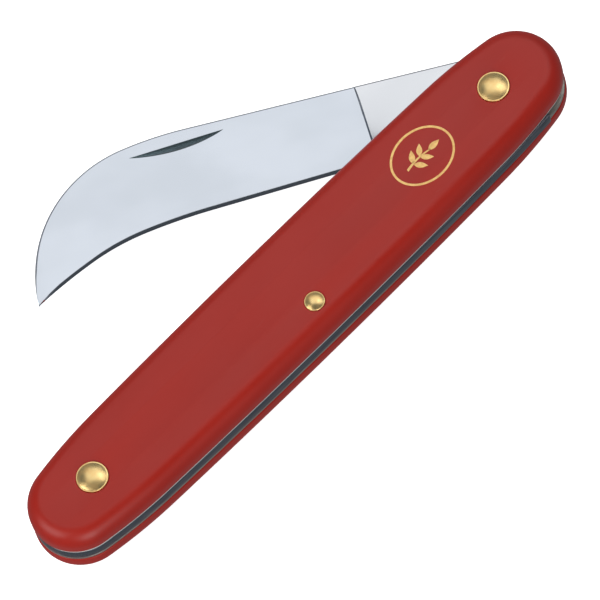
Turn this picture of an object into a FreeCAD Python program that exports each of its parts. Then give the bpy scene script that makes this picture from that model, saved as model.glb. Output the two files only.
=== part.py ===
# Folding pruning knife: hooked blade, back spring, two liners and two moulded scales, riveted through.
#
# Frame, in millimetres: X runs along the handle with the pivot at the +X end, +Y is the mouth that the
# blade folds into, -Y is the back spring's side, and +Z is the front.  The origin lies on the flat outer
# face of the back scale, halfway along the handle, on the line between the two large rivets.
import FreeCAD
import Part
import Sketcher
import math
import os

V = FreeCAD.Vector
UP = V(0, 0, 1)
LEAST_CUT = 1e-3
SAME_LEVEL = 1e-6
SAME_PLACE = 1e-3
doc = FreeCAD.newDocument("PruningKnife")

# ------------------------------------------------------------------ driving dimensions
SIZES = [
    ("handle_length", 110.0, "overall length of the scales"),
    ("handle_width", 17.8, "widest part of the handle"),
    ("side_radius", 1650.0, "long gentle curve of both sides"),
    ("shoulder_radius", 90.0, "tighter curve where a side runs into an end"),
    ("shoulder_start", 36.0, "distance of that change from the middle"),
    ("scale_thickness", 4.3, "one moulded scale"),
    ("scale_round", 2.9, "rounding of a scale's outer edge"),
    ("base_round", 0.25, "rounding of a scale's edge against the liner"),
    ("liner_thickness", 0.5, "one liner"),
    ("blade_gap", 2.1, "space between the liners, and the spring's thickness"),
    ("metal_inset", 0.15, "how far the metal stays inside the scales' outline"),
    ("pivot_x", 43.4, "middle of the handle to the pivot, and to the end rivet"),
    ("centre_rivet_x", -0.3, "centre rivet along the handle"),
    ("centre_rivet_y", -4.75, "centre rivet off the line of the large rivets"),
    ("pin_diameter", 2.8, "shank of the pivot and end pins"),
    ("pin_flare", 3.5, "spun end of those pins, in the burr's countersink"),
    ("burr_diameter", 5.0, "domed washer under each pin end"),
    ("burr_rim", 0.2, "straight edge of a burr above the scale"),
    ("burr_rise", 0.75, "top of a burr above the scale"),
    ("burr_sink", 0.6, "depth of the burr's seat in the scale"),
    ("centre_pin_diameter", 2.0, "shank of the centre rivet"),
    ("centre_head_diameter", 3.2, "head of the centre rivet"),
    ("centre_head_rim", 0.12, "straight edge of that head above the scale"),
    ("centre_head_rise", 0.5, "top of that head above the scale"),
    ("centre_head_sink", 0.4, "depth of that head's seat"),
    ("seat_play", 0.03, "radial play of a head in its seat"),
    ("pivot_play", 0.03, "radial running clearance of the blade on its pin"),
    ("side_play", 0.03, "clearance of the tang to each liner"),
    ("cam_radius", 5.3, "round of the tang that the spring rides on"),
    ("flat_depth", 4.9, "pivot to the tang's open and closed flats"),
    ("spring_gap", 0.05, "spring face clear of the tang's round"),
    ("spring_reach", 3.7, "how far the spring passes the pivot"),
    ("spring_round", 2.5, "inner corners of the spring"),
    ("spring_tip_round", 0.4, "corners at the tip of the spring's arm"),
    ("spring_face_run", 5.0, "length of the spring's face before it reaches the pivot"),
    ("notch_play", 0.35, "spring's tip clear of the notch when the blade is open"),
    ("spine_height", 8.25, "blade's spine above the pivot"),
    ("closed_tilt", 9.4, "degrees that the closed blade's spine leans out of the mouth"),
    ("rest_tilt", 33.4, "degrees that the stored, half-open blade's spine leans out"),
    ("spine_thickness", 1.9, "ground blade at the spine, tang end"),
    ("tip_thickness", 0.9, "ground blade at the spine, tip end"),
    ("shoulder_thickness", 0.34, "blade where the edge bevel starts"),
    ("edge_thickness", 0.06, "cutting edge"),
    ("bevel_width", 0.45, "width of the edge bevel"),
    ("nick_length", 14.8, "nail nick along the blade"),
    ("nick_width", 1.5, "nail nick across the blade"),
    ("nick_depth", 0.5, "nail nick at its deepest"),
]

sheet = doc.addObject("Spreadsheet::Sheet", "Sizes")
for row, (alias, number, note) in enumerate(SIZES, start=1):
    sheet.set(f"A{row}", note)
    sheet.set(f"B{row}", str(number))
    sheet.setAlias(f"B{row}", alias)
doc.recompute()


class Size:
    """A number together with the sheet expression that gives it, so that both stay in step."""

    def __init__(self, number, text):
        self.number = number
        self.text = text

    def __float__(self):
        return self.number

    def joined(self, other, sign, number):
        """Size made by an operation with another size or plain number."""
        text = other.text if isinstance(other, Size) else repr(other)
        return Size(number, f"({self.text} {sign} {text})")

    def __add__(self, other):
        return self.joined(other, "+", self.number + float(other))

    def __sub__(self, other):
        return self.joined(other, "-", self.number - float(other))

    def __mul__(self, other):
        return self.joined(other, "*", self.number * float(other))

    def __truediv__(self, other):
        return self.joined(other, "/", self.number / float(other))

    def __neg__(self):
        return self * -1


def size(alias):
    """One driving dimension of the sheet."""
    return Size(float(sheet.get(alias)), f"Sizes.{alias}")


def bind(thing, name, length):
    """Tie a property to its sheet expression, or just set it where the length is a plain number."""
    if isinstance(length, Size):
        thing.setExpression(name, length.text)
    else:
        setattr(thing, name, length)


# Levels up through the stack.
BACK_LINER_Z = size("scale_thickness")
GAP_Z = BACK_LINER_Z + size("liner_thickness")
MIDDLE_Z = GAP_Z + size("blade_gap") / 2
FRONT_LINER_Z = GAP_Z + size("blade_gap")
FRONT_SCALE_Z = FRONT_LINER_Z + size("liner_thickness")
FRONT_Z = FRONT_SCALE_Z + size("scale_thickness")

PIVOT_X = size("pivot_x")
CENTRE_X = size("centre_rivet_x")
CENTRE_Y = size("centre_rivet_y")


# ------------------------------------------------------------------ PartDesign helpers
def new_body(name):
    """A body whose label names its file."""
    body = doc.addObject("PartDesign::Body", name)
    body.Label = name
    return body


def new_sketch(body, name, lift=None):
    """A sketch on the body's own XY plane, lifted off it where a lift is given."""
    plane = next(f for f in body.Origin.OriginFeatures if f.Role == "XY_Plane")
    sketch = body.newObject("Sketcher::SketchObject", name)
    sketch.AttachmentSupport = (plane, [""])
    sketch.MapMode = "FlatFace"
    if lift is not None:
        sketch.setExpression("AttachmentOffset.Base.z", lift.text)
    return sketch


def hold(sketch, kind, *where_and_length):
    """Add a dimension, named and bound to the sheet where its length is a Size."""
    *where, length = where_and_length
    index = sketch.addConstraint(Sketcher.Constraint(kind, *where, float(length)))
    if isinstance(length, Size):
        name = f"{kind}{index}"
        sketch.renameConstraint(index, name)
        sketch.setExpression(f"Constraints.{name}", length.text)


def hold_point(sketch, geometry, point, x, y):
    """Hold a point by its two distances from the sketch's origin."""
    hold(sketch, "DistanceX", -1, 1, geometry, point, x)
    hold(sketch, "DistanceY", -1, 1, geometry, point, y)


def add_polygon(sketch, corners):
    """Closed polygon with every corner held."""
    count = len(corners)
    for i, (x, y) in enumerate(corners):
        next_x, next_y = corners[(i + 1) % count]
        start, stop = V(float(x), float(y), 0), V(float(next_x), float(next_y), 0)
        sketch.addGeometry(Part.LineSegment(start, stop))
    for i, (x, y) in enumerate(corners):
        sketch.addConstraint(Sketcher.Constraint("Coincident", i, 2, (i + 1) % count, 1))
        hold_point(sketch, i, 1, x, y)


def add_circle(sketch, x, y, diameter):
    """Circle held by its centre and diameter."""
    circle = sketch.addGeometry(Part.Circle(V(float(x), float(y), 0), UP, float(diameter) / 2))
    hold(sketch, "Diameter", circle, diameter)
    hold_point(sketch, circle, 3, x, y)


def pad(body, sketch, length, name):
    """Pad upwards from the sketch."""
    feature = body.newObject("PartDesign::Pad", name)
    feature.Profile = sketch
    bind(feature, "Length", length)
    return feature


def pocket(body, sketch, depth, name):
    """Cut downwards from the sketch, and make sure that something was cut."""
    doc.recompute()
    before = body.Shape.Volume
    feature = body.newObject("PartDesign::Pocket", name)
    feature.Profile = sketch
    bind(feature, "Length", depth)
    doc.recompute()
    if body.Shape.Volume > before - LEAST_CUT:
        raise RuntimeError(f"{name} of {body.Label} cuts nothing")
    return feature


def round_edges(body, chosen, radius, name):
    """Fillet those edges of the body so far that the test picks."""
    doc.recompute()
    base = body.Tip
    names = [f"Edge{i}" for i, edge in enumerate(base.Shape.Edges, start=1) if chosen(edge.BoundBox)]
    feature = body.newObject("PartDesign::Fillet", name)
    feature.Base = (base, names)
    bind(feature, "Radius", radius)
    return feature


def flat_at(level):
    """Test for an edge's box that lies wholly at one height."""
    return lambda box: abs(box.ZMin - float(level)) + abs(box.ZMax - float(level)) < SAME_LEVEL


def upright_at(corners):
    """Test for an edge's box that stands on one of the corners."""
    def chosen(box):
        near = min(math.hypot(box.XMin - float(x), box.YMin - float(y)) for x, y in corners)
        upright = SAME_PLACE < box.ZLength > box.DiagonalLength - SAME_PLACE
        return near < SAME_PLACE and upright
    return chosen


# ------------------------------------------------------------------ the handle's outline
def outline_arcs(inset):
    """Eight tangent arcs, anticlockwise from the +X end: centre x and y, radius, start and stop angle."""
    half_length = float(size("handle_length")) / 2 - inset
    half_width = float(size("handle_width")) / 2 - inset
    side = float(size("side_radius")) - inset
    shoulder = float(size("shoulder_radius")) - inset
    lean = math.asin(float(size("shoulder_start")) / side)
    x = (side - shoulder) * math.sin(lean)
    y = half_width - side + (side - shoulder) * math.cos(lean)
    reach = half_length - x
    end = (shoulder ** 2 - reach ** 2 - y ** 2) / (2 * (shoulder - reach))
    end_x = half_length - end
    turn = math.atan2(-y, end_x - x)
    top, left, bottom = math.pi / 2, math.pi, 3 * math.pi / 2
    return [
        (end_x, 0, end, -turn, turn),
        (x, y, shoulder, turn, top - lean),
        (0, half_width - side, side, top - lean, top + lean),
        (-x, y, shoulder, top + lean, left - turn),
        (-end_x, 0, end, left - turn, left + turn),
        (-x, -y, shoulder, left + turn, bottom - lean),
        (0, side - half_width, side, bottom - lean, bottom + lean),
        (x, -y, shoulder, bottom + lean, 2 * math.pi - turn),
    ]


def add_outline(sketch, inset):
    """The handle's outline, drawn in by an inset and held by its length, width and radii."""
    for x, y, radius, start, stop in outline_arcs(float(inset)):
        sketch.addGeometry(Part.ArcOfCircle(Part.Circle(V(x, y, 0), UP, radius), start, stop))
    for i in range(8):
        sketch.addConstraint(Sketcher.Constraint("Tangent", i, 2, (i + 1) % 8, 1))
    centre_y = size("handle_width") / 2 - size("side_radius")
    for arc, sign in ((2, 1), (6, -1)):
        hold(sketch, "Radius", arc, size("side_radius") - inset)
        sketch.addConstraint(Sketcher.Constraint("PointOnObject", arc, 3, -2))
        hold(sketch, "DistanceY", -1, 1, arc, 3, centre_y * sign)
        hold(sketch, "DistanceX", -1, 1, arc, 1, size("shoulder_start") * sign)
        hold(sketch, "DistanceX", -1, 1, arc, 2, size("shoulder_start") * -sign)
    for arc in (1, 3, 5, 7):
        hold(sketch, "Radius", arc, size("shoulder_radius") - inset)
    half_length = size("handle_length") / 2 - inset
    for arc, sign in ((0, 1), (4, -1)):
        tip = sketch.addGeometry(Part.Point(V(sign * float(half_length), 0, 0)), True)
        sketch.addConstraint(Sketcher.Constraint("PointOnObject", tip, 1, arc))
        sketch.addConstraint(Sketcher.Constraint("PointOnObject", tip, 1, -1))
        hold(sketch, "DistanceX", -1, 1, tip, 1, half_length * sign)


def plate(name, inset, thickness):
    """A body with the handle's outline and one thickness."""
    body = new_body(name)
    sketch = new_sketch(body, f"{name}_outline")
    add_outline(sketch, inset)
    pad(body, sketch, thickness, f"{name}_plate")
    return body


def drill(body, top, depth, holes, name):
    """Round holes from one level down: a list of x, y and diameter."""
    sketch = new_sketch(body, f"{body.Label}_{name}", lift=top)
    for x, y, diameter in holes:
        add_circle(sketch, x, y, diameter)
    pocket(body, sketch, depth, f"{body.Label}_{name}_cut")


def rivet_holes(side=1):
    """Holes for the three rivets; side is -1 on a piece that is turned over."""
    pin, centre_pin = size("pin_diameter"), size("centre_pin_diameter")
    return [(PIVOT_X, 0, pin), (-PIVOT_X, 0, pin), (CENTRE_X, CENTRE_Y * side, centre_pin)]


# ------------------------------------------------------------------ scales and liners
def make_scale(name, side):
    """Moulded scale: rounded outside, with seats for the rivet heads.  side is -1 on the back scale."""
    thickness = size("scale_thickness")
    body = plate(name, 0, thickness)
    round_edges(body, flat_at(thickness), size("scale_round"), f"{name}_rounding")
    round_edges(body, flat_at(0), size("base_round"), f"{name}_base_rounding")
    drill(body, thickness, thickness, rivet_holes(side), "holes")
    seat = size("burr_diameter") + size("seat_play") * 2
    drill(body, thickness, size("burr_sink"), [(PIVOT_X, 0, seat), (-PIVOT_X, 0, seat)], "burr_seats")
    centre_seat = size("centre_head_diameter") + size("seat_play") * 2
    centre = [(CENTRE_X, CENTRE_Y * side, centre_seat)]
    drill(body, thickness, size("centre_head_sink"), centre, "centre_seat")
    return body


def make_liner(name, level):
    """Thin liner plate between a scale and the spring."""
    body = plate(name, size("metal_inset"), size("liner_thickness"))
    drill(body, size("liner_thickness"), size("liner_thickness"), rivet_holes(), "holes")
    body.setExpression("Placement.Base.z", level.text)
    return body


front_scale = make_scale("front_scale", 1)
front_scale.setExpression("Placement.Base.z", FRONT_SCALE_Z.text)
back_scale = make_scale("back_scale", -1)
back_scale.Placement.Rotation = FreeCAD.Rotation(V(1, 0, 0), 180)
back_scale.setExpression("Placement.Base.z", BACK_LINER_Z.text)
back_liner = make_liner("back_liner", BACK_LINER_Z)
front_liner = make_liner("front_liner", FRONT_LINER_Z)


# ------------------------------------------------------------------ back spring
def make_spring():
    """Spring plate: anchored round the end pin, pinned at the centre, its raised arm on the tang's round."""
    body = plate("back_spring", size("metal_inset"), size("blade_gap"))
    face_y = -(size("cam_radius") + size("spring_gap"))
    tip_x = PIVOT_X + size("spring_reach")
    anchor = [(-41.0, 3.8), (-38.6, -4.3)]
    boss = [(-5.5, -4.3), (-3.3, -2.5), (2.9, -2.5), (5.5, -4.7)]
    arm_root = [(9.0, -4.75), (9.0, -20.0)]
    outside = [(70.0, -20.0), (70.0, 20.0), (-70.0, 20.0), (-70.0, 3.8)]
    cavity = new_sketch(body, "spring_cavity", lift=size("blade_gap"))
    add_polygon(cavity, anchor + boss + arm_root + outside)
    pocket(body, cavity, size("blade_gap"), "spring_cavity_cut")
    round_edges(body, upright_at(anchor + boss), size("spring_round"), "spring_inner_rounding")
    arm_back = [(9.0, -8.7), (22.0, -8.75), (33.0, -8.65), (41.0, -8.4)]
    arm_tip = [(tip_x, -7.95), (tip_x, face_y)]
    arm_face = [(PIVOT_X - size("spring_face_run"), face_y), (9.0, -4.75)]
    arm = new_sketch(body, "spring_arm")
    add_polygon(arm, arm_back + arm_tip + arm_face)
    pad(body, arm, size("blade_gap"), "spring_arm_pad")
    round_edges(body, upright_at(arm_tip), size("spring_tip_round"), "spring_tip_rounding")
    pins = [(-PIVOT_X, 0, size("pin_diameter")), (CENTRE_X, CENTRE_Y, size("centre_pin_diameter"))]
    drill(body, size("blade_gap"), size("blade_gap"), pins, "holes")
    body.setExpression("Placement.Base.z", GAP_Z.text)
    return body


back_spring = make_spring()


# ------------------------------------------------------------------ rivets
def place(thing, x, y, z):
    """Put an object at a place, each coordinate bound to the sheet where it is a Size."""
    thing.Placement = FreeCAD.Placement(V(float(x), float(y), float(z)), FreeCAD.Rotation())
    for axis, length in zip("xyz", (x, y, z)):
        if isinstance(length, Size):
            thing.setExpression(f"Placement.Base.{axis}", length.text)


def primitive(kind, name, at, **lengths):
    """A Part primitive with bound lengths at a bound place."""
    thing = doc.addObject(f"Part::{kind}", name)
    for key, length in lengths.items():
        bind(thing, key, length)
    place(thing, *at)
    return thing


def combine(kind, name, base, tool):
    """Part boolean of two objects: Cut, Common or Fuse."""
    thing = doc.addObject(f"Part::{kind}", name)
    thing.Base = base
    thing.Tool = tool
    return thing


def domed_head(name, x, y, side, diameter, sink, rim, rise):
    """Round head seated in a scale's outer face, topped by a ball's cap.  side is -1 on the back."""
    cap = rise - rim
    ball = (diameter * diameter / 4 + cap * cap) / (cap * 2)
    if side > 0:
        low, ball_z = FRONT_Z - sink, FRONT_Z + rise - ball
    else:
        low, ball_z = -rise, ball - rise
    drum = primitive("Cylinder", f"{name}_drum", (x, y, low), Radius=diameter / 2, Height=sink + rise)
    sphere = primitive("Sphere", f"{name}_ball", (x, y, ball_z), Radius=ball)
    return combine("Common", f"{name}_head", drum, sphere)


def pin_end(name, x, side):
    """End of a large pin, spread from its shank into the burr's countersink."""
    shank, flare = size("pin_diameter") / 2, size("pin_flare") / 2
    rise, sink = size("burr_rise"), size("burr_sink")
    if side > 0:
        low, flare_z, radii = FRONT_Z - sink, FRONT_Z, (shank, flare)
    else:
        low, flare_z, radii = -rise, -rise, (flare, shank)
    drum = primitive("Cylinder", f"{name}_drum", (x, 0, low), Radius=shank, Height=sink + rise)
    cone = primitive("Cone", f"{name}_cone", (x, 0, flare_z), Radius1=radii[0], Radius2=radii[1], Height=rise)
    return combine("Fuse", f"{name}_end", drum, cone)


def make_riveted_pin(name, x):
    """Large pin through the whole stack with a domed burr under each spun end."""
    sink = size("burr_sink")
    head_sizes = (size("burr_diameter"), sink, size("burr_rim"), size("burr_rise"))
    burrs, ends = [], []
    for word, side in (("front", 1), ("back", -1)):
        head = domed_head(f"{name}_{word}", x, 0, side, *head_sizes)
        spread = pin_end(f"{name}_{word}_pin", x, side)
        burr = combine("Cut", f"{name}_burr_{word}", head, spread)
        burr.Label = f"{name}_burr_{word}"
        burrs.append(burr)
        ends.append(combine("Common", f"{name}_{word}_spun", head, spread))
    shank_length = FRONT_Z - sink * 2
    shank = primitive("Cylinder", f"{name}_shank", (x, 0, sink), Radius=size("pin_diameter") / 2,
                      Height=shank_length)
    pin = doc.addObject("Part::MultiFuse", f"{name}_pin")
    pin.Shapes = [shank] + ends
    pin.Refine = True
    pin.Label = f"{name}_pin"
    return [pin] + burrs


def make_centre_pin():
    """Small solid rivet with its own two domed heads."""
    head_sizes = (size("centre_head_diameter"), size("centre_head_sink"), size("centre_head_rim"),
                  size("centre_head_rise"))
    heads = [domed_head(f"centre_{word}", CENTRE_X, CENTRE_Y, side, *head_sizes)
             for word, side in (("front", 1), ("back", -1))]
    sink = size("centre_head_sink")
    shank = primitive("Cylinder", "centre_shank", (CENTRE_X, CENTRE_Y, sink),
                      Radius=size("centre_pin_diameter") / 2, Height=FRONT_Z - sink * 2)
    pin = doc.addObject("Part::MultiFuse", "centre_pin")
    pin.Shapes = [shank] + heads
    pin.Refine = True
    pin.Label = "centre_pin"
    return pin


pivot_parts = make_riveted_pin("pivot", PIVOT_X)
end_parts = make_riveted_pin("end", -PIVOT_X)
centre_pin = make_centre_pin()


# ------------------------------------------------------------------ blade
# The blade is drawn about its pivot, reaching towards -X with its straight spine along X and its cutting
# edge below, then turned to its stored angle.
class Path:
    """A line that runs on through straights and tangent arcs, each a list of start, heading, length, bend."""

    def __init__(self, x, y, heading):
        self.steps = []
        self.end = (V(x, y, 0), math.radians(heading))

    def run(self, length, bend=0.0):
        """Go on for a length, turning by bend radians per millimetre."""
        start, heading = self.end
        self.steps.append((start, heading, length, bend))
        self.end = (self.point(len(self.steps) - 1, 1.0), heading + bend * length)
        return self

    def turn(self, radius, degrees):
        """Go on round an arc to the left."""
        return self.run(radius * math.radians(degrees), 1 / radius)

    def reach(self, x, y):
        """Go on round the one arc that ends at a point."""
        start, heading = self.end
        chord = V(x, y, 0) - start
        lean = math.remainder(math.atan2(chord.y, chord.x) - heading, 2 * math.pi)
        return self.run(chord.Length * lean / math.sin(lean), 2 * math.sin(lean) / chord.Length)

    def point(self, step, fraction):
        """Point at a fraction of one step."""
        start, heading, length, bend = self.steps[step]
        gone = length * fraction
        chord = math.sin(bend * gone / 2) * 2 / bend if bend else gone
        way = heading + bend * gone / 2
        return start + V(math.cos(way), math.sin(way), 0) * chord


SPINE_Y = float(size("spine_height"))
PLUNGE_TOP = (-21.0, SPINE_Y)
PLUNGE_BOTTOM = (-19.7, -4.93)
BLADE_TIP = (-75.7, -15.3)
TIP_WIDTH = 0.45

spine_path = Path(*PLUNGE_TOP, 180.0).run(27.4).turn(56.0, 10.0).turn(21.0, 60.0)
spine_path.reach(BLADE_TIP[0], BLADE_TIP[1] + TIP_WIDTH)
edge_path = Path(*PLUNGE_BOTTOM, 182.8).run(26.8).turn(92.0, 6.7).turn(36.0, 15.0).reach(*BLADE_TIP)

# The ground blade's sections divide each pair of steps evenly, more finely where the blade hooks.
SECTIONS_PER_STEP = [1, 3, 10, 5]
STATIONS = [(step, i / count) for step, count in enumerate(SECTIONS_PER_STEP) for i in range(count)]
STATIONS.append((3, 1.0))


def blade_section(number, step, fraction):
    """Six-sided wedge across the ground blade: thick at the spine, a narrow bevel at the edge."""
    spine, edge = spine_path.point(step, fraction), edge_path.point(step, fraction)
    across = spine - edge
    bevel = min(float(size("bevel_width")), across.Length * 0.5)
    shoulder = edge + across.normalize() * bevel
    gone = (step + fraction) / len(spine_path.steps)
    root, tip = float(size("spine_thickness")), float(size("tip_thickness"))
    levels = [(spine, root + (tip - root) * gone), (shoulder, float(size("shoulder_thickness"))),
              (edge, float(size("edge_thickness")))]
    front = [point + UP * (thickness / 2) for point, thickness in levels]
    back = [point - UP * (thickness / 2) for point, thickness in reversed(levels)]
    section = doc.addObject("Part::Polygon", f"blade_section_{number}")
    section.Nodes = front + back
    section.Close = True
    return section


def turned(corners, degrees):
    """Corners turned about the pivot."""
    c, s = math.cos(math.radians(degrees)), math.sin(math.radians(degrees))
    return [(x * c - y * s, x * s + y * c) for x, y in corners]


def make_tang():
    """Flat tang: notch for the spring, round with open and closed flats, kick, and the pivot hole."""
    body = new_body("tang")
    thickness = size("blade_gap") - size("side_play") * 2
    closed_tilt = float(size("closed_tilt"))
    cam, flat = float(size("cam_radius")), float(size("flat_depth"))
    half_flat = math.sqrt(cam ** 2 - flat ** 2)
    notch_x = -float(size("spring_reach") + size("notch_play"))
    kick = [(0.0, -flat), (-half_flat, -flat), (-5.6, -5.2), (-7.6, -5.2), (-9.4, -3.2)]
    top = [PLUNGE_BOTTOM, PLUNGE_TOP, (notch_x, SPINE_Y), (notch_x, flat), (0.0, flat)]
    outline = new_sketch(body, "tang_outline", lift=thickness / -2)
    add_polygon(outline, top + turned(kick, closed_tilt))
    pad(body, outline, thickness, "tang_plate")
    round_sketch = new_sketch(body, "tang_round", lift=thickness / -2)
    add_circle(round_sketch, 0, 0, size("cam_radius") * 2)
    pad(body, round_sketch, thickness, "tang_cam")
    beyond = 1.5 * cam
    open_flat = [(notch_x, flat), (beyond, flat), (beyond, beyond), (notch_x, beyond)]
    closed_flat = [(-half_flat, -flat), (-half_flat, -beyond), (beyond, -beyond), (beyond, -flat)]
    for name, corners in (("open_flat", open_flat), ("closed_flat", turned(closed_flat, closed_tilt))):
        sketch = new_sketch(body, f"tang_{name}", lift=thickness / 2)
        add_polygon(sketch, corners)
        pocket(body, sketch, thickness, f"tang_{name}_cut")
    hole = size("pin_diameter") + size("pivot_play") * 2
    drill(body, thickness / 2, thickness, [(0, 0, hole)], "pivot_hole")
    return body


# The nail nick's deep side: its middle, the slope of its line, and the level of the ground face there.
NICK_X, NICK_Y = -49.65, 6.05
NICK_SLOPE = math.radians(3.6)
NICK_FACE_Z = 0.73


def make_nick_cutter():
    """Disc cutter for the nail nick: a cone whose flat side cuts the steep wall next to the spine."""
    length, width, depth = (float(size(f"nick_{word}")) for word in ("length", "width", "depth"))
    radius = (length / 2) ** 2 / (2 * depth) + depth / 2
    reach = 3 * width
    cutter = doc.addObject("Part::Cone", "nick_cutter")
    cutter.Radius1 = radius
    cutter.Radius2 = radius - depth * reach / width
    cutter.Height = reach
    middle = V(NICK_X, NICK_Y, NICK_FACE_Z + radius - depth)
    to_the_edge = V(math.sin(NICK_SLOPE), -math.cos(NICK_SLOPE), 0)
    cutter.Placement = FreeCAD.Placement(middle, FreeCAD.Rotation(UP, to_the_edge))
    return cutter


def make_blade():
    """Tang and ground blade in one piece, with the nail nick cut in its front face."""
    ground = doc.addObject("Part::Loft", "ground_blade")
    ground.Sections = [blade_section(i, *station) for i, station in enumerate(STATIONS)]
    ground.Solid = True
    ground.Ruled = True
    whole = combine("Fuse", "blade_blank", make_tang(), ground)
    blade = combine("Cut", "blade", whole, make_nick_cutter())
    blade.Label = "blade"
    turn = FreeCAD.Rotation(UP, -float(size("rest_tilt")))
    blade.Placement = FreeCAD.Placement(V(float(PIVOT_X), 0, float(MIDDLE_Z)), turn)
    return blade


blade = make_blade()

# ------------------------------------------------------------------ check and write
doc.recompute()
for thing in doc.Objects:
    if {"Invalid", "Error"} & set(thing.State):
        raise RuntimeError(f"{thing.Label} failed: {thing.State}")

pieces = [front_scale, back_scale, front_liner, back_liner, back_spring, blade]
pieces += pivot_parts + end_parts + [centre_pin]
for piece in pieces:
    shape = piece.Shape
    if shape.isNull() or not shape.isValid() or len(shape.Solids) != 1:
        raise RuntimeError(f"{piece.Label} is not one valid solid")

os.makedirs("parts", exist_ok=True)
for piece in pieces:
    piece.Shape.exportStep(f"parts/{piece.Label}.step")
    print(f"{piece.Label}: {piece.Shape.Volume:.1f} mm3")
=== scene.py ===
"""Folding pruning knife: the looks of every piece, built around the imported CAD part.

Sizes inside the file are millimetres, and every mesh is written in metres in the part's own frame:
X runs along the handle to the pivot, +Y is the mouth that the blade folds into, and +Z is the front.
"""

import logging
import math
from dataclasses import dataclass, field, replace
from enum import Enum

import bmesh
import bpy
import numpy as np
from mathutils import Matrix, Vector
from mathutils.geometry import tessellate_polygon


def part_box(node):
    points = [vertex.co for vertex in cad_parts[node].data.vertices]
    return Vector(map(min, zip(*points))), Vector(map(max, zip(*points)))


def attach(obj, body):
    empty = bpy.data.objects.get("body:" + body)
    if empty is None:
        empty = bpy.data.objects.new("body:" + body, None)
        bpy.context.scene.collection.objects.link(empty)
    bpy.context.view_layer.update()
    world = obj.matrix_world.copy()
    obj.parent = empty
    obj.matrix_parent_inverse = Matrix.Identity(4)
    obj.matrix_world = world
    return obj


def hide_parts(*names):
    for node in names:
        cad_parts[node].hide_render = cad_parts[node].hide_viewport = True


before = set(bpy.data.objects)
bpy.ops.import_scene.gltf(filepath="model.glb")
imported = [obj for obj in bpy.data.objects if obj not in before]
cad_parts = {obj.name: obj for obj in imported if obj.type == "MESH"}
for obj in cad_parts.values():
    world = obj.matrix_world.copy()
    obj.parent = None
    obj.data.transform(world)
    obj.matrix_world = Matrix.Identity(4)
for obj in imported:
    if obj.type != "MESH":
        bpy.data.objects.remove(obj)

logging.basicConfig(level=logging.INFO, format="%(message)s")
log = logging.getLogger("knife")

MM = 0.001
SMOOTH_ANGLE = math.radians(32)
WELD = 2e-7
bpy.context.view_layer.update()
Spot = tuple[float, float, float]
Socket = bpy.types.NodeSocket
Array = np.ndarray


# ---------------------------------------------------------------- small tools
def srgb(code: str) -> tuple[float, float, float, float]:
    """Turn an sRGB hex colour to linear.

    Args:
        code: Six hex digits, such as "9c3832".

    Returns:
        Linear red, green and blue, and an alpha of one.
    """
    channels = np.array([int(code[i:i + 2], 16) for i in (0, 2, 4)]) / 255
    linear = np.where(channels <= 0.04045, channels / 12.92, ((channels + 0.055) / 1.055) ** 2.4)
    return (*linear.tolist(), 1.0)


def add_node(
    tree: bpy.types.NodeTree, kind: str, inputs: dict | None = None, **settings: object
) -> bpy.types.Node:
    """Add one node, with its settings and its inputs.

    Args:
        tree: The node tree that gets it.
        kind: Blender's type name of the node.
        inputs: A value, or the socket to link from, for each named or numbered input.
        settings: The node's own properties.

    Returns:
        The new node.
    """
    node = tree.nodes.new(kind)
    for name, value in settings.items():
        setattr(node, name, value)
    for name, value in (inputs or {}).items():
        if isinstance(value, bpy.types.NodeSocket):
            tree.links.new(value, node.inputs[name])
        else:
            node.inputs[name].default_value = value
    return node


def node_span(node: str) -> tuple[Array, Array]:
    """Lowest and highest corner of a CAD node at rest, in millimetres."""
    low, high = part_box(node)
    return np.array(low) / MM, np.array(high) / MM


def smooth_step(share: Array) -> Array:
    """Ease from 0 to 1: 3s squared less 2s cubed, with s held between 0 and 1."""
    held = np.clip(share, 0.0, 1.0)
    return held * held * (3 - 2 * held)


def unit(vectors: Array) -> Array:
    """Vectors along the last axis, each at length one."""
    return vectors / np.linalg.norm(vectors, axis=-1, keepdims=True)


def left_of(vectors: Array) -> Array:
    """Plane vectors turned a quarter turn anticlockwise."""
    return np.stack([-vectors[..., 1], vectors[..., 0]], axis=-1)


def circle(centre: Array, radius: float, count: int = 72) -> Array:
    """Points round a circle: the centre plus the radius times cosine and sine of even steps."""
    turn = np.linspace(0, 2 * np.pi, count, endpoint=False)
    return centre + radius * np.stack([np.cos(turn), np.sin(turn)], axis=-1)


def lift(points: Array, height: float | Array) -> Array:
    """Plane points carried to a height, or each to its own."""
    heights = np.broadcast_to(height, points.shape[:-1])[..., None]
    return np.concatenate([points, heights], axis=-1)


def turned(points: Array, angle: float) -> Array:
    """Plane points turned about the origin, anticlockwise, by an angle in radians."""
    c, s = math.cos(angle), math.sin(angle)
    return points @ np.array([[c, s], [-s, c]])


def rounded_corners(line: Array, radii: Array, steps: int = 9) -> Array:
    """Round every inner corner of a line with an arc that is tangent to both its sides.

    The arc's centre lies on the corner's bisector, radius over the sine of half the corner's angle away.

    Args:
        line: Points in order, n by 2.
        radii: The radius at each inner point.
        steps: Points on each arc.

    Returns:
        All arcs' points, without the line's ends.
    """
    corners = line[1:-1]
    back, ahead = unit(line[:-2] - corners), unit(line[2:] - corners)
    half = np.arccos(np.clip(np.sum(back * ahead, axis=1), -0.99999, 0.99999)) / 2
    centre = corners + unit(back + ahead) * (radii / np.sin(half))[:, None]
    first, last = (corners + way * (radii / np.tan(half))[:, None] - centre for way in (back, ahead))
    turn = (np.pi - 2 * half)[:, None, None]
    share = np.linspace(0, 1, steps)[None, :, None]
    arc = (np.sin((1 - share) * turn) * first[:, None] + np.sin(share * turn) * last[:, None]) / np.sin(turn)
    return (centre[:, None] + arc).reshape(-1, 2)


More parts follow.
